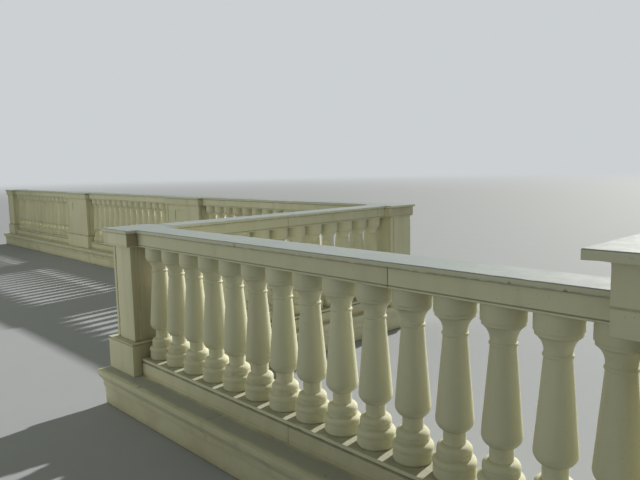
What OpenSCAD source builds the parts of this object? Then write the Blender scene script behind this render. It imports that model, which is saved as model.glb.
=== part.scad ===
// Stone balustrade of a terrace: three runs of turned balusters on a kerb, between pedestals.
// Millimetres, +Z up. The origin is the centre of the corner post, on the floor.
// The front run goes along +X to a pier, the side run along +Y, and the back run from there along -X.

/* [Plan] */
// Centre of the corner post to the centre of the pier
front_run = 3520; // [2800:10:5200]
// Centre of the corner post to the centre of the far corner post
side_run = 2740; // [2000:10:4200]
// Centre to centre of the supports along the back run
pedestal_spacing = 3670; // [3000:10:5200]

/* [Kerb] */
// Height of the kerb with its slab
kerb_h = 250; // [180:5:400]
// Width of the upstand under the front and back runs
kerb_w = 484; // [420:2:600]
// Width of the upstand under the side run
side_kerb_w = 300; // [300:2:600]
// How far the slab stands out over the upstand
slab_overhang = 35; // [20:1:80]
// Height of the slab's upright nose
nose_h = 34; // [20:1:60]
// Height of the splay under the nose
splay_h = 46; // [20:1:80]
// Height of the band under the splay
band_h = 38; // [20:1:80]
// How far that band stands out over the upstand
band_out = 8; // [4:1:20]

/* [Bottom rail] */
// Width of the bottom rail
rail_w = 238; // [210:2:320]
// Height of the bottom rail
rail_h = 123; // [80:1:160]
// Height of the fillet along its top
rail_fillet_h = 19; // [10:1:30]
// Height of the quirk under that fillet
rail_quirk_h = 12; // [6:1:16]
// Depth of the quirks of the bottom rails and base blocks
quirk = 5; // [3:1:8]

/* [Balusters] */
// Distance from one baluster to the next, before the bay is divided evenly
baluster_pitch = 205; // [200:1:300]
// Height of a baluster
baluster_h = 763; // [700:1:900]
// Least gap from a baluster's foot to the base beside it
end_gap = 4; // [3:1:40]
// Radius of the foot
foot_r = 89; // [80:1:92]
// Height of the foot
foot_h = 53; // [40:1:60]
// Largest radius of the ring on the foot
ring_r = 92; // [88:1:96]
// Height of the ring's widest place
ring_z = 64; // [56:1:72]
// Half the height of the ring
ring_half = 22; // [18:1:24]
// Largest radius of the bell above the ring
bell_r = 74; // [68:1:80]
// Radius of the waist
waist_r = 47; // [40:1:52]
// Radius of the belly
belly_r = 79; // [70:1:84]
// Height of the belly's widest place
belly_z = 245; // [220:1:290]
// Radius of the round under the belly
belly_round = 50; // [40:1:52]
// Radius of the shaft under the neck ring
neck_r = 50; // [44:1:54]
// Height of the middle of the neck ring
neck_ring_z = 602; // [560:1:640]
// Radius of the bead of the neck ring
neck_bead = 9; // [6:1:12]
// How far the neck ring stands out
neck_ring_out = 5; // [3:1:8]
// Radius of the hollow above the neck ring
cap_hollow = 77; // [60:1:90]
// Radius of the step under the cap drum
cap_step_r = 83; // [76:1:84]
// Height of the step under the cap drum
cap_step_h = 14; // [6:1:20]
// Radius of the cap drum
cap_drum_r = 88; // [80:1:92]

/* [Top rail and coping] */
// Width of the top rail
top_rail_w = 200; // [180:2:260]
// Height of the top rail
top_rail_h = 89; // [50:1:120]
// Height of the bead along the lower edge of the top rails and heads
rail_bead_h = 10; // [6:1:20]
// Height and depth of the quirk over that bead
bead_quirk = 4; // [2:1:8]
// Width of the coping
coping_w = 222; // [200:2:300]
// Thickness of the coping
coping_h = 25; // [20:1:60]
// Bevel of the coping's upper edge
arris = 4; // [2:1:8]

/* [Posts and pier] */
// Width of the corner post's and the pier's shafts
post_w = 268; // [240:2:320]
// How far their base blocks stand out
post_base_out = 46; // [20:1:60]
// How far the corner post's head stands out
post_head_out = 42; // [20:1:60]
// Width of the far and left posts
far_post_w = 310; // [260:2:420]
// Height of a base block
base_h = 225; // [180:1:320]
// Height of the fillet along its top
base_fillet_h = 7; // [4:1:16]
// Height of the quirk under that fillet
base_quirk_h = 8; // [4:1:14]
// How far the corner post's cap stands out over its head
post_cap_out = 8; // [4:1:30]
// How far the caps along the back run stand out over their heads
cap_out = 15; // [4:1:30]
// Width of the pier's head
pier_head_w = 470; // [400:2:560]
// Height of the pier's head
pier_head_h = 229; // [150:1:320]
// How far the pier's cap stands out
pier_cap_out = 62; // [30:1:90]
// Thickness of the pier's cap
pier_cap_h = 35; // [20:1:60]
// Thickness of the facing slabs, which sets the upright joints
facing = 40; // [30:1:60]
// Width of an upright joint
joint_w = 13; // [5:1:16]
// Depth of an upright joint
joint_d = 9; // [4:1:12]

/* [Pedestals of the back run] */
// Length of a pedestal along the run
pedestal_w = 860; // [600:10:1200]
// How far its base block and its head stand out
pedestal_out = 20; // [8:1:40]
// How far the middle of the sunk panel lies from the middle of the pedestal, away from the corner
panel_shift = 54; // [0:2:200]
// Width of the sunk panel
panel_w = 270; // [200:5:500]
// Height of the sunk panel
panel_h = 145; // [100:5:400]
// Top of the panel below the head
panel_drop = 81; // [60:1:160]
// Depth of the sunk panel
panel_d = 12; // [6:1:24]

/* [Hidden] */

// Levels above the floor
splay_z = kerb_h - nose_h - splay_h;
slab_under = splay_z - band_h;
rail_top = kerb_h + rail_h;
top_rail_z = rail_top + baluster_h;
coping_z = top_rail_z + top_rail_h;
total_h = coping_z + coping_h;
base_top = kerb_h + base_h;

// Colours of the stone in shade, of the paler coping and of the weathered kerb slab
stone = [0.74, 0.73, 0.62];
pale = [0.80, 0.82, 0.80];
weathered = [0.56, 0.56, 0.51];

// A support is its place along the run with the half widths of its shaft, base and head
post_half = post_w / 2;
far_half = far_post_w / 2;
pedestal_half = pedestal_w / 2;
pier_head_half = pier_head_w / 2;
corner_post = [0, post_half, post_half + post_base_out, post_half + post_head_out, post_cap_out];
pier = [front_run, post_half, post_half + post_base_out, pier_head_half, 0];
function far_kind(place, half) = [place, half, half + pedestal_out, half + pedestal_out, cap_out];

// A bay is its two supports and the place and direction of its run
front_bay = [corner_post, pier, [0, 0], 0];
side_bay = [corner_post, far_kind(side_run, far_half), [0, 0], 90];
back_bays = [
    [far_kind(0, far_half), far_kind(pedestal_spacing, pedestal_half), [0, side_run], 180],
    [far_kind(pedestal_spacing, pedestal_half), far_kind(2 * pedestal_spacing, pedestal_half), [0, side_run], 180],
    [far_kind(2 * pedestal_spacing, pedestal_half), far_kind(3 * pedestal_spacing, far_half), [0, side_run], 180]];

// Where the first and last baluster of a bay stand, and how many stand evenly from one to the other
function first_baluster(bay) = bay[0][0] + bay[0][2] + end_gap + ring_r;
function last_baluster(bay) = bay[1][0] - bay[1][2] - end_gap - ring_r;
function gap_count(bay) = round((last_baluster(bay) - first_baluster(bay)) / baluster_pitch);
function even_pitch(bay) = (last_baluster(bay) - first_baluster(bay)) / gap_count(bay);

// Sets what is drawn along +X onto the line of its bay
module along(bay) {
    translate([bay[2][0], bay[2][1], 0]) rotate([0, 0, bay[3]]) children();
}

// Draws an outline of width and height along X, from one place to another
module run(from, to) {
    translate([from, 0, 0]) rotate([90, 0, 90]) linear_extrude(to - from) children();
}

// Outline of a symmetrical section: half widths with their heights, from the bottom up
function both_sides(half, steps) = concat(
    [for (s = steps) [half + s[0], s[1]]],
    [for (i = [len(steps) - 1 : -1 : 0]) [-half - steps[i][0], steps[i][1]]]);

// Steps of a fillet that ends at top and of the quirk under it, on a face that stands out by out
function top_fillet(out, top, fillet, gap) = [
    [out, top - fillet - gap],
    [out - quirk, top - fillet - gap],
    [out - quirk, top - fillet],
    [out, top - fillet],
    [out, top - arris / 2],
    [out - arris / 2, top]];

// Steps of the bead and quirk that start at low
function lower_bead(out, low) = [
    [out - arris / 2, low],
    [out, low + arris / 2],
    [out, low + rail_bead_h],
    [out - bead_quirk, low + rail_bead_h],
    [out - bead_quirk, low + rail_bead_h + bead_quirk],
    [out, low + rail_bead_h + bead_quirk]];

// A rectangular block whose four sides all follow the same steps
module moulded_block(half_x, half_y, steps) {
    reach = max([for (s = steps) s[0]]) + 1;
    intersection() {
        rotate([90, 0, 0]) linear_extrude(2 * (half_y + reach), center = true) polygon(both_sides(half_x, steps));
        rotate([90, 0, 90]) linear_extrude(2 * (half_x + reach), center = true) polygon(both_sides(half_y, steps));
    }
}

module block(half_x, half_y, low, high) {
    translate([-half_x, -half_y, low]) cube([2 * half_x, 2 * half_y, high - low]);
}

// Kerb
slab_steps = [
    [band_out, slab_under],
    [band_out, splay_z],
    [slab_overhang, kerb_h - nose_h],
    [slab_overhang, kerb_h]];
kerb_half = kerb_w / 2;
side_kerb_half = side_kerb_w / 2;
front_kerb_end = front_run + kerb_half;
back_kerb_end = 3 * pedestal_spacing + kerb_half;

// The straight kerbs of the front and back runs, from the side run's outer face to their free end
module long_kerb_block(free_end) {
    length = free_end + side_kerb_half;
    translate([length / 2 - side_kerb_half, 0, 0]) block(length / 2, kerb_half, 0, slab_under);
}

module long_kerb_slab(free_end) {
    length = free_end + side_kerb_half;
    translate([length / 2 - side_kerb_half, 0, 0]) moulded_block(length / 2, kerb_half, slab_steps);
}

module kerb_front() {
    color(stone) long_kerb_block(front_kerb_end);
}

module kerb_back() {
    color(stone) along(back_bays[0]) long_kerb_block(back_kerb_end);
}

module kerb_side() {
    length = side_run - kerb_w;
    color(stone) translate([0, side_run / 2, 0]) block(side_kerb_half, length / 2, 0, slab_under);
}

module kerb_slab_front() {
    color(weathered) long_kerb_slab(front_kerb_end);
}

module kerb_slab_back() {
    color(weathered) along(back_bays[0]) long_kerb_slab(back_kerb_end);
}

// Cut to the noses of the two slabs that it runs between
module kerb_slab_side() {
    color(weathered) difference() {
        along(side_bay) run(0, side_run) polygon(both_sides(side_kerb_half, slab_steps));
        long_kerb_slab(front_kerb_end);
        along(back_bays[0]) long_kerb_slab(back_kerb_end);
    }
}

// Bottom rail, from base block to base block
rail_half = rail_w / 2;
rail_steps = concat([[0, kerb_h]], top_fillet(0, rail_top, rail_fillet_h, rail_quirk_h));

module bottom_rail(bay) {
    color(stone) along(bay)
        run(bay[0][0] + bay[0][2], bay[1][0] - bay[1][2]) polygon(both_sides(rail_half, rail_steps));
}

// Baluster, turned: heights are above its foot
bell_round = bell_r - waist_r;
bell_z = ring_z + ring_half + bell_round + 3;
shaft_lean = atan((belly_r - neck_r) / (neck_ring_z - belly_z));
belly_centre = belly_r - belly_round;
hollow_z = neck_ring_z + neck_bead + 2;
hollow_reach = cap_step_r - neck_r;
hollow_h = sqrt(cap_hollow * cap_hollow - (cap_hollow - hollow_reach) * (cap_hollow - hollow_reach));
cap_step_z = hollow_z + hollow_h;
cap_drum_z = cap_step_z + cap_step_h;
lap = 0.2;

module baluster_half_outline() {
    intersection() {
        union() {
            square([foot_r, foot_h]);
            square([ring_r - ring_half, ring_z + ring_half]);
            translate([ring_r - ring_half, ring_z]) circle(ring_half, $fn = 96);
            square([bell_r - 4, bell_z]);
            translate([waist_r, bell_z]) circle(bell_round, $fn = 96);
            square([waist_r, belly_z]);
            translate([belly_centre, belly_z]) circle(belly_round, $fn = 96);
            polygon([
                [0, belly_z],
                [belly_centre + belly_round * cos(shaft_lean), belly_z + belly_round * sin(shaft_lean)],
                [neck_r, neck_ring_z],
                [0, neck_ring_z]]);
            square([neck_r, baluster_h]);
            translate([neck_r + neck_ring_out - neck_bead, neck_ring_z]) circle(neck_bead, $fn = 64);
            difference() {
                translate([0, hollow_z]) square([cap_step_r, hollow_h]);
                translate([neck_r + cap_hollow, hollow_z]) circle(cap_hollow, $fn = 128);
            }
            translate([0, cap_step_z - lap]) square([cap_step_r, cap_step_h + 2 * lap]);
            translate([0, cap_drum_z]) square([cap_drum_r, baluster_h - cap_drum_z]);
        }
        square([ring_r, baluster_h]);
    }
}

module balusters(bay) {
    color(stone) along(bay)
        for (i = [0 : gap_count(bay)])
            translate([first_baluster(bay) + i * even_pitch(bay), 0, rail_top])
                rotate_extrude($fn = 64) baluster_half_outline();
}

// Top rail and coping, from head to head
top_rail_half = top_rail_w / 2;
top_rail_steps = concat(lower_bead(0, top_rail_z), [[0, coping_z]]);
coping_half = coping_w / 2;
coping_steps = [
    [0, coping_z],
    [0, total_h - arris],
    [-arris, total_h]];

module top_rail(bay) {
    color(stone) along(bay)
        run(bay[0][0] + bay[0][3], bay[1][0] - bay[1][3]) polygon(both_sides(top_rail_half, top_rail_steps));
}

module coping(bay) {
    color(pale) along(bay)
        run(bay[0][0] + bay[0][3] + bay[0][4], bay[1][0] - bay[1][3] - bay[1][4])
            polygon(both_sides(coping_half, coping_steps));
}

// Base block with a fillet and quirk of its own
module base_block(half_x, half_y, out) {
    color(stone) moulded_block(
        half_x, half_y, concat([[out, kerb_h]], top_fillet(out, base_top, base_fillet_h, base_quirk_h)));
}

// Shaft faced with slabs that lap at the corners, so each face has one upright joint on its left
module faced_shaft(half_x, half_y) {
    color(stone) difference() {
        block(half_x, half_y, base_top, top_rail_z);
        for (turn = [0, 180]) {
            rotate([0, 0, turn]) upright_joint(half_x, half_y);
            rotate([0, 0, turn + 90]) upright_joint(half_y, half_x);
        }
    }
}

module upright_joint(half_x, half_y) {
    translate([facing - half_x, -half_y - 1, base_top - 1]) cube([joint_w, joint_d + 1, baluster_h]);
}

module head_block(half_x, half_y, out, top) {
    color(stone) moulded_block(half_x, half_y, concat(lower_bead(out, top_rail_z), [[out, top]]));
}

module cap_slab(half_x, half_y, out, low, high) {
    color(pale) moulded_block(half_x, half_y, [
        [out, low],
        [out, high - arris],
        [out - arris, high]]);
}

// Places of the far corner post, the left post and the two pedestals of the back run
far_corner = [0, side_run, 0];
left_corner = [-3 * pedestal_spacing, side_run, 0];
pedestal_places = [for (i = [1, 2]) [-i * pedestal_spacing, side_run, 0]];

module corner_post_base() {
    base_block(post_half, post_half, post_base_out);
}

module corner_post_shaft() {
    faced_shaft(post_half, post_half);
}

module corner_post_head() {
    head_block(post_half, post_half, post_head_out, coping_z);
}

module far_post_base() {
    translate(far_corner) base_block(far_half, far_half, pedestal_out);
}

module far_post_shaft() {
    translate(far_corner) faced_shaft(far_half, far_half);
}

module far_post_head() {
    translate(far_corner) head_block(far_half, far_half, pedestal_out, coping_z);
}

module left_post_base() {
    translate(left_corner) base_block(far_half, far_half, pedestal_out);
}

module left_post_shaft() {
    translate(left_corner) faced_shaft(far_half, far_half);
}

module left_post_head() {
    translate(left_corner) head_block(far_half, far_half, pedestal_out, coping_z);
}

module pedestal_bases() {
    for (place = pedestal_places)
        translate(place) base_block(pedestal_half, far_half, pedestal_out);
}

// The sunk panel is on the face towards the terrace
module pedestal_shafts() {
    for (place = pedestal_places)
        translate(place) difference() {
            faced_shaft(pedestal_half, far_half);
            translate([-panel_shift - panel_w / 2, -far_half - 1, top_rail_z - panel_drop - panel_h])
                cube([panel_w, panel_d + 1, panel_h]);
        }
}

module pedestal_heads() {
    for (place = pedestal_places)
        translate(place) head_block(pedestal_half, far_half, pedestal_out, coping_z);
}

module pedestal_caps() {
    for (place = pedestal_places)
        translate(place) cap_slab(pedestal_half, far_half, pedestal_out + cap_out, coping_z, total_h);
}

module post_caps() {
    cap_slab(post_half, post_half, post_head_out + post_cap_out, coping_z, total_h);
    for (place = [far_corner, left_corner])
        translate(place) cap_slab(far_half, far_half, pedestal_out + cap_out, coping_z, total_h);
}

module pier_base() {
    translate([front_run, 0, 0]) base_block(post_half, post_half, post_base_out);
}

module pier_shaft() {
    translate([front_run, 0, 0]) faced_shaft(post_half, post_half);
}

module pier_head() {
    translate([front_run, 0, 0]) head_block(pier_head_half, pier_head_half, 0, top_rail_z + pier_head_h);
}

module pier_cap() {
    low = top_rail_z + pier_head_h;
    translate([front_run, 0, 0]) cap_slab(pier_head_half, pier_head_half, pier_cap_out, low, low + pier_cap_h);
}

kerb_front();
kerb_side();
kerb_back();
kerb_slab_front();
kerb_slab_side();
kerb_slab_back();
bottom_rail(front_bay);  // bottom_rail_front
bottom_rail(side_bay);  // bottom_rail_side
bottom_rail(back_bays[0]);  // bottom_rail_back_1
bottom_rail(back_bays[1]);  // bottom_rail_back_2
bottom_rail(back_bays[2]);  // bottom_rail_back_3
balusters(front_bay);  // balusters_front
balusters(side_bay);  // balusters_side
balusters(back_bays[0]);  // balusters_back_1
balusters(back_bays[1]);  // balusters_back_2
balusters(back_bays[2]);  // balusters_back_3
top_rail(front_bay);  // top_rail_front
top_rail(side_bay);  // top_rail_side
top_rail(back_bays[0]);  // top_rail_back_1
top_rail(back_bays[1]);  // top_rail_back_2
top_rail(back_bays[2]);  // top_rail_back_3
coping(front_bay);  // coping_front
coping(side_bay);  // coping_side
coping(back_bays[0]);  // coping_back_1
coping(back_bays[1]);  // coping_back_2
coping(back_bays[2]);  // coping_back_3
corner_post_base();
corner_post_shaft();
corner_post_head();
far_post_base();
far_post_shaft();
far_post_head();
left_post_base();
left_post_shaft();
left_post_head();
pedestal_bases();
pedestal_shafts();
pedestal_heads();
pedestal_caps();
post_caps();
pier_base();
pier_shaft();
pier_head();
pier_cap();
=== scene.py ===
"""Looks of the stone balustrade: every stone cut, worn and weathered, on the frame of the part."""

import math
import random

import bmesh
import bpy
from mathutils import Matrix, Vector, noise


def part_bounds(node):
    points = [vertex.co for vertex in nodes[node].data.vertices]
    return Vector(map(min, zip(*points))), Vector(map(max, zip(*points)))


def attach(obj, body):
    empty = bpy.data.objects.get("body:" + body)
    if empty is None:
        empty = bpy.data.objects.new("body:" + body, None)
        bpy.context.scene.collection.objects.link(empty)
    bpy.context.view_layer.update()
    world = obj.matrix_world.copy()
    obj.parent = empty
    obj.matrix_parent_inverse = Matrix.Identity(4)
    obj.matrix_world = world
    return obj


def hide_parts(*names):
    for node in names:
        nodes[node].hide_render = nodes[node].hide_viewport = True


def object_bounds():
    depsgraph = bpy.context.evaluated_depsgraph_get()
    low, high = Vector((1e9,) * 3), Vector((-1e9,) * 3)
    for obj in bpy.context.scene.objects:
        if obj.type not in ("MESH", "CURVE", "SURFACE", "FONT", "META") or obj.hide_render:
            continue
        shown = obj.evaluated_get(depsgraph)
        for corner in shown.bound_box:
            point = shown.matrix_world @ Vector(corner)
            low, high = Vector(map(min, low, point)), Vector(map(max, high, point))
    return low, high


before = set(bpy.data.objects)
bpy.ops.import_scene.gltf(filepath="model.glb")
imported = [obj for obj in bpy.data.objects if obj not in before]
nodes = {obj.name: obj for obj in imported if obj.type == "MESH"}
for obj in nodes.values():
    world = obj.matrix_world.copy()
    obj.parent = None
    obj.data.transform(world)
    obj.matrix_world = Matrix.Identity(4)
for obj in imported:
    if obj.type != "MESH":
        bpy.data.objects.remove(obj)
part_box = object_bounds()
scene = bpy.context.scene

# ------------------------------------------------------------------ levels and faces

SLAB_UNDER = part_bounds("kerb_slab_front")[0].z
SLAB_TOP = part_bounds("kerb_slab_front")[1].z
RAIL_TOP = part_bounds("bottom_rail_front")[1].z
BASE_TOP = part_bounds("corner_post_base")[1].z
RAIL_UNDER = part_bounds("top_rail_front")[0].z
COPING_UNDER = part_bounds("coping_front")[0].z
COPING_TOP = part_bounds("coping_front")[1].z
COPING_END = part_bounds("coping_front")[1].x

RAIL_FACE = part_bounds("bottom_rail_front")[0].y
HEAD_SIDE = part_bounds("corner_post_head")[1].x
SHAFT_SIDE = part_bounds("corner_post_shaft")[1].x
BASE_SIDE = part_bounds("corner_post_base")[1].x

# Fine lines painted dark as painted shade: quirks of the rails and the base, and a mark above the
# slab
BEAD_QUIRK = RAIL_UNDER + 0.012
RAIL_QUIRK = RAIL_TOP - 0.025
BASE_QUIRK = BASE_TOP - 0.011
FOOT_MARK = SLAB_TOP + 0.021

# ------------------------------------------------------------------ joints, worn places and stones

BOTTOM_RAIL_JOINT = 1.70
FRONT_RAIL_JOINT = 2.342
SIDE_RAIL_JOINTS = (1.31, 2.46)
COPING_CHIPS = (1.29, 2.90, 3.10)
COPING_EDGE = -0.111
SLAB_SPOT = (0.375, -0.245, SLAB_TOP)

# Lengths that stones are cut to, about
SIDE_STONE = 1.2
SLAB_STONE = 1.25
BACK_STONE = 1.3

# Spacing of the planes that cut a face so that it can wear
COPING_GRID = 0.03
RAIL_GRID = 0.04
POST_GRID = 0.05
SLAB_GRID = 0.07
FAR_GRID = 0.08
KERB_GRID = 0.1

# How far arrises are rounded and how deep they chip, and the tone of the pier's head
EASE = 0.003
CHIP = 0.010
COPING_CHIP = 0.006
PIER_HEAD_EASE = 0.005
PIER_HEAD_TONE = 0.3
CORNER_POST_ROUNDING = (("base", 0.009), ("shaft", 0.020), ("head", 0.004))

# Angles in radians: of faces that count as flat, of edges that look sharp, of arrises that are
# rounded, and of edges that can chip on flat and on turned stones
FLAT_ANGLE = math.radians(0.5)
SHARP_ANGLE = math.radians(28)
ARRIS_ANGLE = 0.6
CHIP_ANGLE = 0.2
TURNED_CHIP_ANGLE = 0.35

# Points this close are one, and faces this narrow keep their edges
SAME_POINT = 2e-5
NARROW_FACE = 0.006

# Depth of wear, fineness of the wear and of the chips, and how much of an arris stays whole
FACE_WEAR = (0.0004, 9.0, 21.0, 0.32)
TURNED_WEAR = (0.0005, 14.0, 24.0, 0.3)

# Size of the worn places along the front coping
WORN_DEPTH = 0.0025
WORN_REACH = 0.015

# Half the length of mortar that fills a joint, and how far it lies back
MORTAR_REACH = 0.012
MORTAR_INSET = 0.004

# The strip of sealing at the pier, and how far it stands out
SEALING_LENGTH = 0.0095
SEALING_PROUD = 0.0012
SEALING_SPREAD = 1.012

# Sides, points along the outline and depth of chips, for near and for far balusters
NEAR_BALUSTERS = (64, 2, 0.010)
FAR_BALUSTERS = (40, 1, 0.008)

BALUSTER_COUNTS = {
    "balusters_front": 15,
    "balusters_side": 12,
    "balusters_back_1": 15,
    "balusters_back_2": 14,
    "balusters_back_3": 15,
}

# ------------------------------------------------------------------ colours


def rgb(red, green, blue):
    return (red, green, blue, 1.0)


CREAM = rgb(0.70, 0.69, 0.515)
DEEP_CREAM = rgb(0.63, 0.61, 0.44)
# Painted sky reflection: coping tops, bluer and darker than the cream stone because they face the
# sky and the sun
SKY_TINT_PALE = rgb(0.345, 0.385, 0.40)
SKY_TINT_DEEP = rgb(0.275, 0.32, 0.335)
# Soil for pits, runs and stains, and also painted shade on undersides and away from the corner
SOIL_AND_SHADE = rgb(0.27, 0.245, 0.165)
# Painted shade: brown for dark lines at quirks and joins, the corner post's head side, the floor
# line and under the slab's nose
SHADE_BROWN = rgb(0.22, 0.165, 0.10)
ROSE_BROWN = rgb(0.40, 0.30, 0.21)
# Painted shade: tan for the corner post's side faces beside the first baluster
SHADE_TAN = rgb(0.38, 0.295, 0.15)
OCHRE = rgb(0.52, 0.36, 0.15)
# Lichen for spots and specks, and also painted shade in quirks, at joins and under the coping
LICHEN_AND_SHADE = rgb(0.15, 0.16, 0.125)
GREY = rgb(0.32, 0.34, 0.325)
DARK_GREY = rgb(0.22, 0.23, 0.195)
MORTAR_DARK = rgb(0.17, 0.14, 0.10)
MORTAR_LIGHT = rgb(0.40, 0.37, 0.28)
SEALING_DEEP = rgb(0.72, 0.70, 0.56)
SEALING_LIGHT = rgb(0.80, 0.79, 0.68)
FLOOR_DEEP = rgb(0.335, 0.352, 0.385)
FLOOR_LIGHT = rgb(0.365, 0.382, 0.415)
BACKDROP = rgb(0.60, 0.63, 0.65)
FILL = rgb(0.262, 0.274, 0.232)

# ------------------------------------------------------------------ studio

FLOOR_HALF = 400.0
FADE_START = 22.0
FADE_END = 90.0

KEY_STRENGTH = 5.0
KEY_ANGLE = math.radians(1.5)
KEY_COLOUR = (1.0, 0.98, 0.91)
KEY_DIRECTION = (0.1100, -0.8958, -0.4305)

SOFT_BOX_COLOUR = (1.0, 1.0, 0.84)
SOFT_BOX_SPREAD = math.radians(100)
# Name, place, aim, width, height and watts
SOFT_BOXES = (
    ("soft_box_left", (-2.6, -4.2, 1.7), (-0.2, -0.2, 1.1), 3.6, 2.4, 13.0),
    ("soft_box_back", (-6.5, -4.2, 2.6), (-6.0, 2.6, 1.1), 6.0, 3.0, 36.0),
)

CAMERA_PLACE = (3.957, -2.040, 1.650)
CAMERA_RIGHT = (0.695234, 0.718486, -0.020696)
CAMERA_DOWN = (0.072344, -0.098592, -0.992495)
CAMERA_FORWARD = (-0.715134, 0.688518, -0.120523)
CAMERA_LENS = 34.397
CAMERA_SENSOR = 36.0
CAMERA_REACH = 1000.0


# ------------------------------------------------------------------ shader maths


class Value:
    """A socket of a finish. Sums and products of values add the Math nodes they need."""

    def __init__(self, finish, socket):
        self.finish = finish
        self.socket = socket

    def math(self, operation, *others):
        inputs = dict(enumerate((self,) + others))
        return self.finish.node("ShaderNodeMath", {"operation": operation}, inputs)

    def __add__(self, other):
        return self.math("ADD", other)

    __radd__ = __add__

    def __mul__(self, other):
        return self.math("MULTIPLY", other)

    __rmul__ = __mul__

    def __sub__(self, other):
        return self.math("SUBTRACT", other)

    def __rsub__(self, other):
        return self.finish.node("ShaderNodeMath", {"operation": "SUBTRACT"}, {0: other, 1: self})

    def __truediv__(self, other):
        return self.math("DIVIDE", other)

    def size(self):
        return self.math("ABSOLUTE")

    def larger(self, other):
        return self.math("MAXIMUM", other)

    def step(self, low, high):
        """Rises smoothly from 0 at low to 1 at high."""
        settings = {"interpolation_type": "SMOOTHSTEP"}
        inputs = {"Value": self, "From Min": low, "From Max": high, "To Min": 0.0, "To Max": 1.0}
        return self.finish.node("ShaderNodeMapRange", settings, inputs)


class Finish:
    """A material under construction."""

    def __init__(self, name):
        self.material = bpy.data.materials.new(name)
        self.material.use_nodes = True
        self.tree = self.material.node_tree
        self.shader = self.tree.nodes["Principled BSDF"]
        self.place = self.node("ShaderNodeTexCoord", {}, {}, "Object")
        axes = self.node("ShaderNodeSeparateXYZ", {}, {0: self.place})
        self.x, self.y, self.z = (Value(self, out) for out in axes.socket.node.outputs)
        facing = self.node("ShaderNodeNewGeometry", {}, {}, "Normal")
        self.up = self.node("ShaderNodeSeparateXYZ", {}, {0: facing}, "Z")
        self.tone = self.node("ShaderNodeAttribute", {"attribute_name": "stone_tone"}, {}, "Fac")

    def node(self, kind, settings, inputs, output=0):
        """Adds a shader node and gives one of its outputs."""
        made = self.tree.nodes.new(kind)
        for setting, value in settings.items():
            setattr(made, setting, value)
        for socket, value in inputs.items():
            self.join(made.inputs[socket], value)
        return Value(self, made.outputs[output])

    def join(self, socket, value):
        """Links a value to a socket, or sets the socket to a number or a colour."""
        if isinstance(value, Value):
            self.tree.links.new(value.socket, socket)
        else:
            socket.default_value = value

    def noise(self, scale, detail=2.0, stretch=(1.0, 1.0, 1.0), roughness=0.5):
        stretched = {0: self.place, 1: stretch}
        at = self.node("ShaderNodeVectorMath", {"operation": "MULTIPLY"}, stretched)
        inputs = {"Vector": at, "Scale": scale, "Detail": detail, "Roughness": roughness}
        return self.node("ShaderNodeTexNoise", {}, inputs)

    def holes(self, scale, radius):
        """1 in the middle of scattered small holes, 0 between them."""
        spot = self.node("ShaderNodeTexVoronoi", {}, {"Vector": self.place, "Scale": scale})
        return 1 - spot.step(radius * 0.3, radius)

    def mix(self, first, second, share):
        inputs = {0: share, 6: first, 7: second}
        return self.node("ShaderNodeMix", {"data_type": "RGBA"}, inputs, 2)

    def brighten(self, colour, by):
        inputs = {0: colour, "Scale": by}
        return self.node("ShaderNodeVectorMath", {"operation": "SCALE"}, inputs)

    def distance(self, point):
        inputs = {0: self.place, 1: point}
        return self.node("ShaderNodeVectorMath", {"operation": "DISTANCE"}, inputs, "Value")

    def near_level(self, level, reach):
        """1 at a height, falling to 0 at reach above and below it."""
        return 1 - ((self.z - level).size() / reach).step(0.0, 1.0)

    def near_point(self, point, reach):
        """1 around a point, falling to 0 at reach from it."""
        return 1 - self.distance(point).step(reach * 0.3, reach)

    def beside(self, x):
        """1 on an upright face that stands at x, 0 away from it."""
        return 1 - ((self.x - x).size() / 0.006).step(0.4, 1.0)

    def upright(self):
        """1 on upright faces, 0 on level ones."""
        return 1 - self.up.size().step(0.25, 0.8)

    def ledge(self):
        """1 on faces that look up, where soil settles."""
        return self.up.step(0.55, 0.95)

    def bump(self, height, distance, strength=1.0, under=None):
        inputs = {"Height": height, "Distance": distance, "Strength": strength}
        if under is not None:
            inputs["Normal"] = under
        return self.node("ShaderNodeBump", {}, inputs)

    def done(self, colour, roughness, normal):
        self.join(self.shader.inputs["Base Color"], colour)
        self.join(self.shader.inputs["Roughness"], roughness)
        self.join(self.shader.inputs["Normal"], normal)
        return self.material


# ------------------------------------------------------------------ finishes


def stone_body(finish, light, deep, grain=1.0):
    """Colour, mottling and bump of the stone itself, before it weathers."""
    drift = finish.noise(1.3, 2.0)
    mottle = finish.noise(15.0, 4.0, roughness=0.6)
    sand = finish.noise(320.0, 2.0, roughness=0.7)
    pits = finish.holes(75.0, 0.17) * finish.noise(28.0, 1.0).step(0.52, 0.66)
    colour = finish.mix(light, deep, (drift * 0.6 + mottle * 0.4).step(0.34, 0.66) * 0.7)
    grainy = (sand - 0.5) * 0.2 * grain
    colour = finish.brighten(colour, 1 + finish.tone * 0.04 + grainy + (mottle - 0.5) * 0.14)
    colour = finish.mix(colour, SOIL_AND_SHADE, pits * 0.5)
    normal = finish.bump(sand * 0.35 * grain - pits, 0.0014)
    normal = finish.bump(mottle, 0.003, 0.7, normal)
    return colour, mottle, normal


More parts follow.
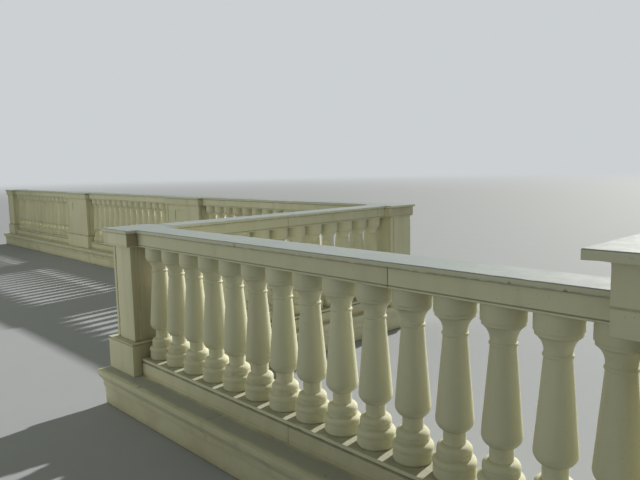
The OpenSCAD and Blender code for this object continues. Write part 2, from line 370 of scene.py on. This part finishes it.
def rail_and_baluster_stone():
    """Cream cast stone: grey-green ledges, faint rain runs, and painted shade on undersides, in
    quirks, at joins and along the bottom rail.
    """
    finish = Finish("cream_cast_stone")
    colour, mottle, normal = stone_body(finish, CREAM, DEEP_CREAM)
    runs = finish.noise(1.0, 2.0, stretch=(9.0, 9.0, 0.9)).step(0.42, 0.85)
    colour = finish.mix(colour, SOIL_AND_SHADE, runs * finish.upright() * 0.16)
    colour = finish.mix(colour, DARK_GREY, finish.ledge() * (mottle * 0.7 + 0.1) * 0.3)
    # Painted shade on faces that look down
    underside = 1 - finish.up.step(-0.95, -0.6)
    colour = finish.mix(colour, SOIL_AND_SHADE, underside * 0.35)
    # Painted shade: the bottom rail's face below its quirk grows darker, mottled, away from the
    # corner
    below_quirk = 1 - finish.z.step(RAIL_QUIRK - 0.004, RAIL_QUIRK + 0.004)
    rail_shade = below_quirk * (mottle * 0.3 + 0.15) * finish.x.step(0.3, 1.5)
    colour = finish.mix(colour, SOIL_AND_SHADE, rail_shade)
    # Painted shade: thin dark lines in the bead's and rail's quirks, under the coping, at the
    # balusters' feet and above the slab
    lines = finish.near_level(BEAD_QUIRK, 0.005) + finish.near_level(COPING_UNDER, 0.008)
    lines = lines + finish.near_level(FOOT_MARK, 0.0025) * 0.6
    lines = lines + finish.near_level(RAIL_TOP, 0.004) * 0.8
    lines = lines + finish.near_level(RAIL_QUIRK, 0.011) * 1.5
    colour = finish.mix(colour, LICHEN_AND_SHADE, lines * (mottle.step(0.2, 0.6) * 0.4 + 0.6) * 0.6)
    # Ochre seeps out at the foot, most of all by the corner
    patches = finish.noise(5.0, 3.0, roughness=0.6).step(0.42, 0.62)
    along_foot = finish.near_level(SLAB_TOP, 0.02) * patches
    left_end = 1 - finish.x.step(0.15, 0.62)
    by_corner = finish.near_level(SLAB_TOP, 0.032) * left_end * mottle.step(0.25, 0.55)
    colour = finish.mix(colour, OCHRE, by_corner.larger(along_foot * 0.5) * 0.65)
    return finish.done(colour, 0.72 + mottle * 0.2, normal)


def post_stone():
    """The same stone on posts and pedestals, with broad faint stains down their faces, and painted
    shade at quirks and joins and on the corner post's head and side faces.
    """
    finish = Finish("post_cast_stone")
    colour, mottle, normal = stone_body(finish, CREAM, DEEP_CREAM)
    stains = finish.noise(1.0, 3.0, stretch=(9.0, 9.0, 0.7)).step(0.48, 0.78)
    colour = finish.mix(colour, SOIL_AND_SHADE, stains * finish.upright() * 0.2)
    # Painted shade: dark lines at the base's top and quirk, and under the coping and the top rail
    course_shade = finish.near_level(BASE_TOP + 0.003, 0.006)
    course_shade = course_shade + finish.near_level(BASE_QUIRK, 0.006) * 1.2
    course_shade = course_shade + finish.near_level(COPING_UNDER, 0.008)
    course_shade = course_shade + finish.near_level(RAIL_UNDER, 0.005) * 0.7
    colour = finish.mix(colour, SHADE_BROWN, course_shade * (mottle.step(0.25, 0.6) * 0.6 + 0.3) * 0.6)
    foot_line = finish.near_level(SLAB_TOP, 0.008)
    colour = finish.mix(colour, OCHRE, foot_line * mottle.step(0.3, 0.6) * 0.5)
    colour = finish.mix(colour, GREY, finish.ledge() * mottle * 0.3)
    # Painted shade: the side of the corner post's head beside the top rail is painted brown, most
    # of all by the coping
    head = finish.beside(HEAD_SIDE) * finish.z.step(RAIL_UNDER, RAIL_UNDER + 0.01)
    by_coping = finish.near_point((HEAD_SIDE, RAIL_FACE - 0.01, COPING_UNDER - 0.03), 0.10)
    colour = finish.mix(colour, SHADE_BROWN, head * (by_coping * 0.4 + 0.25))
    # Painted shade: the side faces of its shaft and base that stand beside the first baluster are
    # painted tan, with a little of the stains
    base = finish.beside(BASE_SIDE) * (1 - finish.z.step(BASE_TOP - 0.004, BASE_TOP + 0.004))
    shaft = finish.beside(SHAFT_SIDE) * finish.z.step(BASE_TOP - 0.004, BASE_TOP + 0.01)
    by_rail = finish.y.step(-0.19, -0.10)
    colour = finish.mix(colour, SHADE_TAN, (base + shaft) * (stains * 0.2 + by_rail * 0.35 + 0.05))
    return finish.done(colour, 0.72 + mottle * 0.2, normal)


def coping_stone():
    """Coping slabs with a painted sky reflection: tops painted pale bluish, sides cream, washed by
    rain on top, with painted shade along their lower edge.
    """
    finish = Finish("sky_tinted_coping_stone")
    colour, mottle, normal = stone_body(finish, SKY_TINT_PALE, SKY_TINT_DEEP)
    # Painted sky reflection: the sides keep the cream colour, the tops keep the painted sky tint
    side = 1 - finish.up.step(0.3, 0.7)
    colour = finish.mix(colour, CREAM, side * 0.85)
    washed = finish.noise(5.0, 4.0, roughness=0.65).step(0.48, 0.72)
    colour = finish.mix(colour, GREY, washed * (1 - side) * 0.25)
    # Painted shade along the coping's lower edge, in patches
    edge_shade = finish.near_level(COPING_UNDER, 0.009) * finish.noise(30.0, 2.0).step(0.25, 0.6)
    colour = finish.mix(colour, LICHEN_AND_SHADE, edge_shade * 0.6)
    spots = finish.noise(48.0, 3.0, roughness=0.7).step(0.63, 0.73)
    colour = finish.mix(colour, LICHEN_AND_SHADE, spots * finish.noise(3.0, 1.0).step(0.45, 0.65) * 0.35)
    worn = 0
    for place in COPING_CHIPS:
        worn = finish.near_point((place, COPING_EDGE, COPING_UNDER + 0.003), 0.010) + worn
    colour = finish.mix(colour, LICHEN_AND_SHADE, worn * 0.6)
    return finish.done(colour, 0.6 + mottle * 0.25, normal)


def kerb_slab_stone():
    """Walked-on slab: grey bands along both sides of the front rail, and a few dark specks."""
    finish = Finish("weathered_slab_stone")
    colour, mottle, normal = stone_body(finish, CREAM, DEEP_CREAM)
    top = finish.up.step(0.5, 0.9)
    patches = finish.noise(4.0, 4.0, roughness=0.65)
    from_band = (finish.y.size() - 0.185 + (patches - 0.5) * 0.09).size()
    band = 1 - (from_band / 0.08).step(0.45, 1.0)
    front_bay = finish.x.step(-0.35, -0.2) * (1 - finish.y.step(0.3, 0.4))
    elsewhere = (0.3 + (patches - 0.5) * 0.9) * (1 - front_bay * 0.6)
    colour = finish.mix(colour, GREY, top * (elsewhere + band * front_bay * 0.72))
    specks = finish.holes(7.0, 0.06) * top
    colour = finish.mix(colour, LICHEN_AND_SHADE, specks * 0.75)
    colour = finish.mix(colour, LICHEN_AND_SHADE, finish.near_point(SLAB_SPOT, 0.02) * 0.6)
    drips = finish.noise(1.0, 3.0, stretch=(7.0, 7.0, 1.6)).step(0.5, 0.78)
    colour = finish.mix(colour, SOIL_AND_SHADE, drips * (1 - finish.up.step(0.2, 0.6)) * 0.25)
    # Painted shade: the slab darkens away from the corner
    colour = finish.mix(colour, SOIL_AND_SHADE, finish.x.step(0.2, 1.6) * 0.18)
    return finish.done(colour, 0.76 + mottle * 0.18, normal)


def kerb_render():
    """Smooth rendered upstand: broad rose-brown blotches, and painted shade along the floor, under
    the slab's nose and away from the corner.
    """
    finish = Finish("kerb_render")
    colour, mottle, normal = stone_body(finish, CREAM, DEEP_CREAM, 1.2)
    blotches = finish.noise(2.6, 3.0, stretch=(1.0, 1.0, 0.8), roughness=0.55).step(0.5, 0.74)
    colour = finish.mix(colour, ROSE_BROWN, blotches * 0.3)
    # Painted shade: the kerb darkens away from the corner
    colour = finish.mix(colour, SOIL_AND_SHADE, finish.x.step(0.1, 1.5) * (mottle * 0.2 + 0.15))
    splash = (1 - finish.z.step(0.0, 0.06)) * mottle.step(0.25, 0.7)
    colour = finish.mix(colour, SOIL_AND_SHADE, splash * 0.3)
    # Painted shade along the floor
    floor_line = 1 - finish.z.step(0.004, 0.011)
    colour = finish.mix(colour, SHADE_BROWN, floor_line * 0.75)
    # Painted shadow under the slab's nose
    top_line = finish.near_level(SLAB_UNDER, 0.01) * mottle
    colour = finish.mix(colour, SHADE_BROWN, top_line * 0.4)
    return finish.done(colour, 0.8 + mottle * 0.15, normal)


def joint_mortar():
    """Dark, rough mortar between stones."""
    finish = Finish("joint_mortar")
    mottle = finish.noise(60.0, 4.0, roughness=0.7)
    colour = finish.mix(MORTAR_DARK, MORTAR_LIGHT, mottle.step(0.35, 0.7))
    return finish.done(colour, 0.9 + mottle * 0.05, finish.bump(mottle, 0.002))


def sealing_strip():
    """Pale sealing, smoother than the stone."""
    finish = Finish("pale_sealing")
    mottle = finish.noise(40.0, 3.0)
    colour = finish.mix(SEALING_DEEP, SEALING_LIGHT, mottle)
    return finish.done(colour, 0.55 + mottle * 0.1, finish.bump(mottle, 0.001))


CAST = rail_and_baluster_stone()
POST = post_stone()
COPING = coping_stone()
SLAB = kerb_slab_stone()
RENDER = kerb_render()
MORTAR = joint_mortar()
SEALING = sealing_strip()


# ------------------------------------------------------------------ stones


class Pile:
    """Stones gathered into one piece: points, faces and each stone's own tone."""

    def __init__(self):
        self.points = []
        self.faces = []
        self.tones = []

    def add(self, points, faces, tone):
        start = len(self.points)
        self.points.extend(points)
        self.faces.extend([tuple(start + i for i in face) for face in faces])
        self.tones.extend([tone] * len(points))

    def add_stone(self, bm, tone):
        """Adds a working mesh as one stone."""
        bm.verts.index_update()
        faces = [[v.index for v in f.verts] for f in bm.faces]
        self.add([v.co.copy() for v in bm.verts], faces, tone)

    def piece(self, name, material, slot, *replaced):
        """Makes the stones visible as one piece, in place of the CAD nodes that it replaces."""
        mesh = bpy.data.meshes.new(name)
        mesh.from_pydata(self.points, [], self.faces)
        mesh.validate()
        tones = mesh.attributes.new("stone_tone", "FLOAT", "POINT")
        tones.data.foreach_set("value", self.tones)
        mesh.shade_smooth()
        mesh.set_sharp_from_angle(angle=SHARP_ANGLE)
        mesh.materials.append(material)
        made = bpy.data.objects.new(name, mesh)
        scene.collection.objects.link(made)
        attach(made, "root")
        if replaced:
            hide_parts(*replaced)


def solid_copy(name):
    """A CAD node as a working mesh whose triangles are joined to flat faces again."""
    bm = bmesh.new()
    mesh = nodes[name].data
    made = [bm.verts.new(v.co) for v in mesh.vertices]
    for face in mesh.polygons:
        try:
            bm.faces.new([made[i] for i in face.vertices])
        except ValueError:
            # This face is already there
            pass
    bmesh.ops.remove_doubles(bm, verts=bm.verts, dist=SAME_POINT)
    bmesh.ops.dissolve_limit(bm, angle_limit=FLAT_ANGLE, verts=bm.verts, edges=bm.edges)
    return bm


def everything(bm):
    return bm.verts[:] + bm.edges[:] + bm.faces[:]


def along_axis(axis, length):
    """A vector of a length along an axis."""
    return Vector([length if i == axis else 0.0 for i in range(3)])


def cut_between(bm, axis, low, high):
    """A copy of the mesh from low to high along an axis, closed at both ends."""
    part = bm.copy()
    for at, side in ((low, -1.0), (high, 1.0)):
        cut = bmesh.ops.bisect_plane(
            part, geom=everything(part), plane_co=along_axis(axis, at),
            plane_no=along_axis(axis, side), clear_outer=True, dist=1e-6)
        edges = [e for e in cut["geom_cut"] if isinstance(e, bmesh.types.BMEdge)]
        if edges:
            bmesh.ops.edgeloop_fill(part, edges=edges)
    return part


def face_width(face):
    """A face's area over its longest edge."""
    return face.calc_area() / max(e.calc_length() for e in face.edges)


def round_edges(bm, edges, radius, segments):
    """Rounds edges with a few narrow faces."""
    bmesh.ops.bevel(
        bm, geom=edges, offset=radius, offset_type="OFFSET", segments=segments, profile=0.5,
        affect="EDGES", clamp_overlap=True)


def ease_arrises(bm, ease):
    """Rounds the outer arrises between wide faces, as stone wears."""
    bm.normal_update()
    chosen = [
        e for e in bm.edges
        if len(e.link_faces) == 2 and e.calc_face_angle_signed() > ARRIS_ANGLE
        and min(face_width(f) for f in e.link_faces) > NARROW_FACE]
    round_edges(bm, chosen, ease, 2)


def round_upright(bm, place, radius):
    """Rounds the upright arris at a place in plan."""
    chosen = [
        e for e in bm.edges
        if all(abs(v.co.x - place[0]) < 1e-3 and abs(v.co.y - place[1]) < 1e-3 for v in e.verts)
        and e.calc_length() > 0.01]
    round_edges(bm, chosen, radius, 5)


def grid_cut(bm, spacing):
    """Cuts all faces by even planes, so that wear can move them."""
    for axis in range(3):
        places = [v.co[axis] for v in bm.verts]
        low, high = min(places), max(places)
        count = int((high - low) / spacing)
        normal = along_axis(axis, 1.0)
        for k in range(1, count + 1):
            at = low + (high - low) * k / (count + 1)
            bmesh.ops.bisect_plane(
                bm, geom=everything(bm), plane_co=normal * at, plane_no=normal, dist=1e-5)


def worn_depth(point, shift, chip, depth, fineness, chip_fineness, whole):
    """How far a point has worn in, and up to chip more where an arris is broken."""
    worn = depth * (1.0 + noise.noise(point * fineness + shift))
    return worn + chip * max(0.0, noise.noise(point * chip_fineness + shift) - whole)


def wear(bm, seed, chip, chips_at=()):
    """Moves the surface in by a fraction of a millimetre, and more where an arris has chipped."""
    bm.normal_update()
    shift = Vector((seed * 3.1, seed * 1.7, seed * 2.3))
    moves = []
    for v in bm.verts:
        corners = (e.calc_face_angle(0.0) for e in v.link_edges if len(e.link_faces) == 2)
        on_arris = max(corners, default=0.0) > CHIP_ANGLE
        depth = worn_depth(v.co, shift, chip if on_arris else 0.0, *FACE_WEAR)
        if on_arris:
            for place in chips_at:
                depth += WORN_DEPTH * max(0.0, 1.0 - (v.co - Vector(place)).length / WORN_REACH)
        moves.append(v.normal * -depth)
    for v, move in zip(bm.verts, moves):
        v.co += move


chance = random.Random(7)
mortar_pile = Pile()


def mortar_at(bm, axis, at):
    """The mortar in a joint: the section there, a little smaller."""
    part = cut_between(bm, axis, at - MORTAR_REACH, at + MORTAR_REACH)
    if part.verts:
        extents = [[f([v.co[i] for v in part.verts]) for f in (min, max)] for i in range(3)]
        for v in part.verts:
            for i in range(3):
                if i != axis:
                    middle = (extents[i][0] + extents[i][1]) / 2
                    half = (extents[i][1] - extents[i][0]) / 2
                    v.co[i] = middle + (v.co[i] - middle) * (half - MORTAR_INSET) / half
        mortar_pile.add_stone(part, 0.0)
    part.free()


def lay_stones(name, material, slot, axis=None, joints=(), gap=0.003, ends=(0.0, 0.0),
               spacing=POST_GRID, chip=CHIP, chips_at=(), rounded=()):
    """Replaces a CAD node by stones of the same outline, parted at the joints along an axis."""
    whole = solid_copy(name)
    for place, radius in rounded:
        round_upright(whole, place, radius)
    pile = Pile()
    if axis is None:
        stones = [whole.copy()]
    else:
        low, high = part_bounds(name)[0][axis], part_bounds(name)[1][axis]
        cuts = [low + ends[0] - gap / 2] + sorted(joints) + [high - ends[1] + gap / 2]
        stones = [
            cut_between(whole, axis, a + gap / 2, b - gap / 2) for a, b in zip(cuts, cuts[1:])]
        for at in joints:
            mortar_at(whole, axis, at)
    for stone in stones:
        ease_arrises(stone, EASE)
        grid_cut(stone, spacing)
        wear(stone, chance.random() * 10, chip, chips_at)
        pile.add_stone(stone, chance.uniform(-1, 1))
        stone.free()
    whole.free()
    pile.piece(name + "_stones", material, slot, name)


def even_joints(name, axis, about):
    """Joints that part a node evenly, into stones of about a length."""
    low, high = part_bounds(name)[0][axis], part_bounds(name)[1][axis]
    count = max(1, round((high - low) / about))
    return [low + (high - low) * k / count for k in range(1, count)]


# ------------------------------------------------------------------ balusters


def arc(centre, level, radius, first, last, steps):
    """Points of an arc in the outline's plane, as distance from the axis and height."""
    angles = [math.radians(first + (last - first) * k / steps) for k in range(steps + 1)]
    return [(centre + radius * math.cos(a), level + radius * math.sin(a)) for a in angles]


def straight(start, end, steps):
    """Points of a straight line after its start."""
    return [
        tuple(a + (b - a) * k / steps for a, b in zip(start, end)) for k in range(1, steps + 1)]


def baluster_outline(height, fine):
    """Half outline of a baluster from its foot up, with more points where fine is larger."""
    # Foot and ring
    outline = [(0.0845, 0.0), (0.0850, 0.0025), (0.0876, 0.0040)]
    outline += [(0.0888, 0.0065), (0.0888, 0.0500)]
    outline += arc(0.070, 0.064, 0.022, -31, 80, 7 * fine)
    # Fine steps below the bell
    outline += [(0.0712, 0.0868), (0.0708, 0.0885), (0.0722, 0.0893), (0.0722, 0.0925)]
    outline += [(0.0708, 0.0933), (0.0708, 0.0950), (0.0726, 0.0960), (0.0738, 0.0985)]
    outline += [(0.0740, 0.1070), (0.0736, 0.1078), (0.0722, 0.1084)]
    # Bell and waist
    outline += arc(0.047, 0.116, 0.027, -12, 88, 5 * fine)
    outline += [(0.0472, 0.1450), (0.0470, 0.1880)]
    # Belly and leaning shaft
    outline += arc(0.029, 0.245, 0.050, -69, 4.5, 6 * fine)
    outline += straight(outline[-1], (0.0502, 0.593), 3 * fine)
    # Neck ring and hollow
    outline += arc(0.046, 0.602, 0.009, -55, 55, 3 * fine)
    outline += [(0.0502, 0.6102), (0.0500, 0.6130)]
    outline += arc(0.127, 0.613, 0.077, 178, 126, 4 * fine)
    # Cap step and cap drum
    outline += [(0.0826, 0.6758), (0.0830, 0.6780), (0.0830, 0.6892), (0.0838, 0.6904)]
    outline += [(0.0864, 0.6908), (0.0878, 0.6918), (0.0880, 0.6936), (0.0880, 0.7240)]
    outline += [(0.0880, height)]
    return outline


def outward_arrises(outline):
    """1 at each point of the outline where an outward arris can chip, 0 at the others."""
    arrises = [0.0]
    for before, at, after in zip(outline, outline[1:], outline[2:]):
        lean = math.atan2(after[1] - at[1], after[0] - at[0])
        lean -= math.atan2(at[1] - before[1], at[0] - before[0])
        arrises.append(1.0 if lean > TURNED_CHIP_ANGLE else 0.0)
    return arrises + [0.0]


def turn_balusters(name, sides, fine, chip):
    """Replaces a bay's balusters by turned ones, each with its own small wear."""
    low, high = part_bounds(name)
    along = 0 if high.x - low.x > high.y - low.y else 1
    radius = (high[1 - along] - low[1 - along]) / 2
    length = high[along] - low[along] - 2 * radius
    count = BALUSTER_COUNTS[name]
    outline = baluster_outline(high.z - low.z, fine)
    arrises = outward_arrises(outline)
    faces = [
        (ring * sides + side, ring * sides + (side + 1) % sides,
         (ring + 1) * sides + (side + 1) % sides, (ring + 1) * sides + side)
        for ring in range(len(outline) - 1) for side in range(sides)]
    last_ring = (len(outline) - 1) * sides
    faces.append(tuple(reversed(range(sides))))
    faces.append(tuple(range(last_ring, last_ring + sides)))
    pile = Pile()
    for number in range(count):
        centre = (low + high) / 2
        centre[along] = low[along] + radius + length * number / (count - 1)
        foot = Vector((centre.x, centre.y, low.z))
        turn = chance.random() * 6.28
        shift = Vector((number * 5.3, sides * 0.7, 2.1))
        points = []
        for (reach, level), arris in zip(outline, arrises):
            for side in range(sides):
                angle = turn + 2 * math.pi * side / sides
                spot = Vector((math.cos(angle) * reach, math.sin(angle) * reach, level))
                depth = worn_depth(spot, shift, arris * chip, *TURNED_WEAR)
                spot.x -= math.cos(angle) * depth
                spot.y -= math.sin(angle) * depth
                points.append(foot + spot)
        pile.add(points, faces, chance.uniform(-1, 1))
    pile.piece(name + "_turned", CAST, "cream_stone", name)


for name in BALUSTER_COUNTS:
    turn_balusters(name, *(NEAR_BALUSTERS if name == "balusters_front" else FAR_BALUSTERS))

# ------------------------------------------------------------------ rails and copings

lay_stones(
    "bottom_rail_front", CAST, "cream_stone", 0, [BOTTOM_RAIL_JOINT],
    gap=0.0015, ends=(0.010, 0.002), spacing=RAIL_GRID)
lay_stones(
    "bottom_rail_side", CAST, "cream_stone", 1, even_joints("bottom_rail_side", 1, SIDE_STONE),
    gap=0.002, ends=(0.003, 0.003))
lay_stones(
    "top_rail_front", CAST, "cream_stone", 0, [FRONT_RAIL_JOINT],
    gap=0.004, ends=(0.004, 0.002), spacing=RAIL_GRID)
lay_stones(
    "top_rail_side", CAST, "cream_stone", 1, SIDE_RAIL_JOINTS,
    gap=0.004, ends=(0.003, 0.003))
lay_stones(
    "coping_front", COPING, "coping_stone", 0, [COPING_CHIPS[0]],
    gap=0.002, ends=(0.002, 0.010), spacing=COPING_GRID, chip=COPING_CHIP,
    chips_at=[(place, COPING_EDGE, COPING_UNDER + 0.006) for place in COPING_CHIPS])
lay_stones(
    "coping_side", COPING, "coping_stone", 1, even_joints("coping_side", 1, SIDE_STONE),
    ends=(0.002, 0.002))
for bay in (1, 2, 3):
    for kind, material, slot in (
            ("bottom_rail", CAST, "cream_stone"),
            ("top_rail", CAST, "cream_stone"),
            ("coping", COPING, "coping_stone")):
        name = f"{kind}_back_{bay}"
        lay_stones(
            name, material, slot, 0, even_joints(name, 0, BACK_STONE),
            ends=(0.002, 0.002), spacing=FAR_GRID)

# ------------------------------------------------------------------ posts, pedestals and pier


def plain_block(name):
    """The pier's tall head, which is one plain block."""
    low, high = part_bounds(name)
    bm = bmesh.new()
    bmesh.ops.create_cube(bm, size=1.0)
    for v in bm.verts:
        v.co = Vector([(low[i] + high[i]) / 2 + v.co[i] * (high[i] - low[i]) for i in range(3)])
    ease_arrises(bm, PIER_HEAD_EASE)
    grid_cut(bm, RAIL_GRID)
    wear(bm, chance.random() * 10, CHIP)
    pile = Pile()
    pile.add_stone(bm, PIER_HEAD_TONE)
    bm.free()
    pile.piece(name + "_block", POST, "cream_stone", name)


for name in ("far_post", "left_post"):
    for part in ("base", "shaft", "head"):
        lay_stones(f"{name}_{part}", POST, "cream_stone")
for part, radius in CORNER_POST_ROUNDING:
    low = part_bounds(f"corner_post_{part}")[0]
    lay_stones(f"corner_post_{part}", POST, "cream_stone", rounded=[((low.x, low.y), radius)])
for part in ("base", "shaft"):
    lay_stones(f"pier_{part}", POST, "cream_stone")
plain_block("pier_head")
for part in ("bases", "shafts", "heads"):
    lay_stones(f"pedestal_{part}", POST, "cream_stone", spacing=FAR_GRID)
for name in ("pedestal_caps", "post_caps", "pier_cap"):
    lay_stones(name, COPING, "coping_stone")

# ------------------------------------------------------------------ kerb

for name, axis in (("kerb_slab_front", 0), ("kerb_slab_side", 1), ("kerb_slab_back", 0)):
    lay_stones(
        name, SLAB, "weathered_stone", axis, even_joints(name, axis, SLAB_STONE),
        gap=0.002, spacing=SLAB_GRID)
for name in ("kerb_front", "kerb_side", "kerb_back"):
    lay_stones(name, RENDER, "kerb_render", spacing=KERB_GRID)

mortar_pile.piece("joint_mortar_lines", MORTAR, "kerb_render")

# ------------------------------------------------------------------ sealing at the pier


def seal_coping():
    """A pale strip in the joint between the front coping and the pier, a little proud of it."""
    coping = solid_copy("coping_front")
    strip = cut_between(coping, 0, COPING_END - SEALING_LENGTH, COPING_END)
    middle = (COPING_UNDER + COPING_TOP) / 2
    for v in strip.verts:
        v.co.y *= SEALING_SPREAD
        v.co.z += SEALING_PROUD if v.co.z > middle else -SEALING_PROUD
    pile = Pile()
    pile.add_stone(strip, 0.0)
    strip.free()
    coping.free()
    pile.piece("coping_sealing_strip", SEALING, "coping_stone")


seal_coping()

# ------------------------------------------------------------------ floor, light and camera


def plain_floor():
    """A pale floor that fades into the backdrop far from the balustrade."""
    half = FLOOR_HALF
    corners = [(-half, -half, 0), (half, -half, 0), (half, half, 0), (-half, half, 0)]
    mesh = bpy.data.meshes.new("studio_floor")
    mesh.from_pydata(corners, [], [(0, 1, 2, 3)])
    finish = Finish("studio_floor")
    grain = finish.noise(2.0, 3.0)
    colour = finish.mix(FLOOR_DEEP, FLOOR_LIGHT, grain)
    finish.done(colour, 0.85 + grain * 0.05, finish.bump(grain, 0.001))
    middle = (part_box[0] + part_box[1]) / 2
    away = finish.distance((middle.x, middle.y, 0.0)).step(FADE_START, FADE_END)
    glow = finish.node("ShaderNodeEmission", {}, {"Color": BACKDROP, "Strength": 1.0})
    fade = finish.node("ShaderNodeMixShader", {}, {0: away, 2: glow})
    tree = finish.tree
    tree.links.new(finish.shader.outputs[0], fade.socket.node.inputs[1])
    tree.links.new(fade.socket, tree.nodes["Material Output"].inputs["Surface"])
    mesh.materials.append(finish.material)
    floor = bpy.data.objects.new("studio_floor", mesh)
    scene.collection.objects.link(floor)


def soft_dome():
    """Even light from all round, behind a plain backdrop."""
    world = bpy.data.worlds.new("soft_studio")
    scene.world = world
    world.use_nodes = True
    tree = world.node_tree
    fill = tree.nodes["Background"]
    fill.inputs["Color"].default_value = FILL
    fill.inputs["Strength"].default_value = 1.0
    plain = tree.nodes.new("ShaderNodeBackground")
    plain.inputs["Color"].default_value = BACKDROP
    path = tree.nodes.new("ShaderNodeLightPath")
    mix = tree.nodes.new("ShaderNodeMixShader")
    tree.links.new(path.outputs["Is Camera Ray"], mix.inputs[0])
    tree.links.new(fill.outputs[0], mix.inputs[1])
    tree.links.new(plain.outputs[0], mix.inputs[2])
    tree.links.new(mix.outputs[0], tree.nodes["World Output"].inputs["Surface"])


def key_light():
    """A warm key from behind the balustrade."""
    lamp = bpy.data.lights.new("key", "SUN")
    lamp.energy = KEY_STRENGTH
    lamp.angle = KEY_ANGLE
    lamp.color = KEY_COLOUR
    key = bpy.data.objects.new("key", lamp)
    key.rotation_euler = Vector(KEY_DIRECTION).to_track_quat("-Z", "Y").to_euler()
    scene.collection.objects.link(key)


def soft_box(name, place, aim, width, height, watts):
    """A large soft lamp outside the camera's view."""
    lamp = bpy.data.lights.new(name, "AREA")
    lamp.shape = "RECTANGLE"
    lamp.size = width
    lamp.size_y = height
    lamp.energy = watts
    lamp.spread = SOFT_BOX_SPREAD
    lamp.color = SOFT_BOX_COLOUR
    box = bpy.data.objects.new(name, lamp)
    box.location = place
    box.rotation_euler = (Vector(aim) - Vector(place)).to_track_quat("-Z", "Y").to_euler()
    box.visible_camera = False
    scene.collection.objects.link(box)


def photo_camera():
    """The photograph's place, direction and field of view."""
    data = bpy.data.cameras.new("photo_camera")
    data.sensor_width = CAMERA_SENSOR
    data.lens = CAMERA_LENS
    data.clip_end = CAMERA_REACH
    camera = bpy.data.objects.new("photo_camera", data)
    axes = (Vector(CAMERA_RIGHT), -Vector(CAMERA_DOWN), -Vector(CAMERA_FORWARD))
    turn = Matrix(axes).transposed().to_4x4()
    camera.matrix_world = Matrix.Translation(CAMERA_PLACE) @ turn
    scene.collection.objects.link(camera)
    scene.camera = camera


plain_floor()
soft_dome()
key_light()
for values in SOFT_BOXES:
    soft_box(*values)
photo_camera()
scene.view_settings.view_transform = "Standard"
scene.view_settings.look = "None"

bpy.context.view_layer.update()
